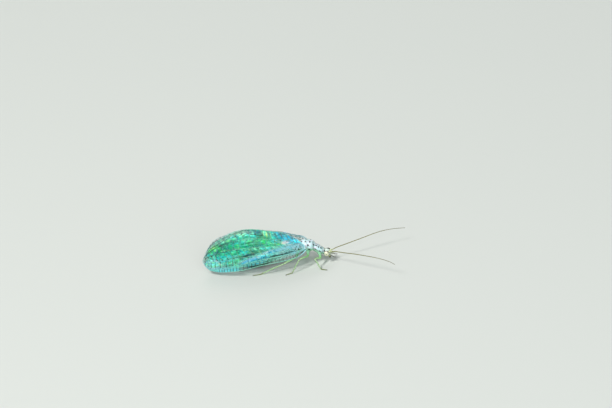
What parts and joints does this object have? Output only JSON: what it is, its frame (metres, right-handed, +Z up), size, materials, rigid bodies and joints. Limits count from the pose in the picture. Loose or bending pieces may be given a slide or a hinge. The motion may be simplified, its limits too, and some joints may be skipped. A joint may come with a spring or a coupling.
{
  "type": "green lacewing",
  "caption": "Life-size green lacewing standing with its clear wings folded like a roof and its long feelers spread.",
  "frame": {"origin": "on the floor, below the middle of the bounding box", "axes": "+X towards the head and along the body, +Y to the insect's left, +Z up from the floor"},
  "size_m": [0.0275, 0.0112, 0.0057],
  "materials": {
    "thorax": "blue-white shell with a lilac tint and black spots, green below",
    "face": "cream shell with black marks",
    "eye": "pale gold, glossy",
    "feeler": "pale brown-green",
    "leg": "pale green",
    "foot": "brown-green",
    "abdomen": "pale blue above, black below",
    "wing": "clear film with teal and gold-green sheen, green and dark veins"
  },
  "bodies": {
    "root": {"head": "face", "eye_left": "eye", "eye_right": "eye", "palp_left": "feeler", "palp_right": "feeler", "antenna_left": "feeler", "antenna_right": "feeler", "prothorax": "thorax", "mesothorax": "thorax", "metathorax": "thorax", "abdomen": "abdomen", "terminalia": "abdomen", "forewing_left": "wing", "forewing_right": "wing", "hindwing_left": "wing", "hindwing_right": "wing", "leg_fore_left_coxa": "leg", "leg_fore_left_femur": "leg", "leg_fore_left_tibia": "leg", "leg_fore_left_tarsus": "foot", "leg_fore_right_coxa": "leg", "leg_fore_right_femur": "leg", "leg_fore_right_tibia": "leg", "leg_fore_right_tarsus": "foot", "leg_mid_left_coxa": "leg", "leg_mid_left_femur": "leg", "leg_mid_left_tibia": "leg", "leg_mid_left_tarsus": "foot", "leg_mid_right_coxa": "leg", "leg_mid_right_femur": "leg", "leg_mid_right_tibia": "leg", "leg_mid_right_tarsus": "foot", "leg_hind_left_coxa": "leg", "leg_hind_left_femur": "leg", "leg_hind_left_tibia": "leg", "leg_hind_left_tarsus": "foot", "leg_hind_right_coxa": "leg", "leg_hind_right_femur": "leg", "leg_hind_right_tibia": "leg", "leg_hind_right_tarsus": "foot"}
  },
  "joints": []
}
